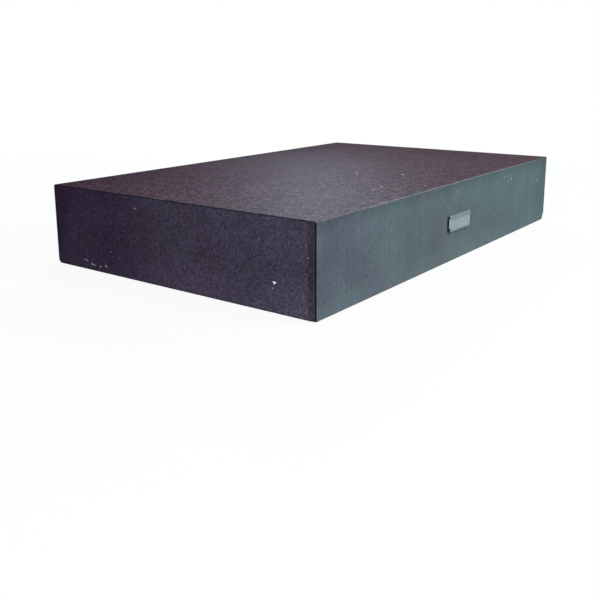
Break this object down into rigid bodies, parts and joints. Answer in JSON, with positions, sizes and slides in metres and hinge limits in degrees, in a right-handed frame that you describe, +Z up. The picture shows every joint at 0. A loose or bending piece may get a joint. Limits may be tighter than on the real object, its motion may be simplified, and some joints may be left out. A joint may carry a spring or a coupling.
{
  "type": "granite surface plate",
  "caption": "Black granite surface plate: a thick rectangular slab with a lapped top, eased edges and a blank metal name plate, on three rubber pads.",
  "frame": {"origin": "centre of the base, on the plane that the three support pads stand on", "axes": "+X along the 630 mm length, +Y across the 400 mm width away from the face with the name plate, +Z up through the lapped working face"},
  "size_m": [0.63, 0.405, 0.102],
  "materials": {
    "granite": "lapped satin on top, ground on the sides",
    "name_plate_metal": "satin",
    "pad_rubber": "matt"
  },
  "bodies": {
    "root": {"granite_slab": "granite", "name_plate": "name_plate_metal", "support_pad_left_front": "pad_rubber", "support_pad_left_rear": "pad_rubber", "support_pad_right": "pad_rubber"}
  },
  "joints": []
}
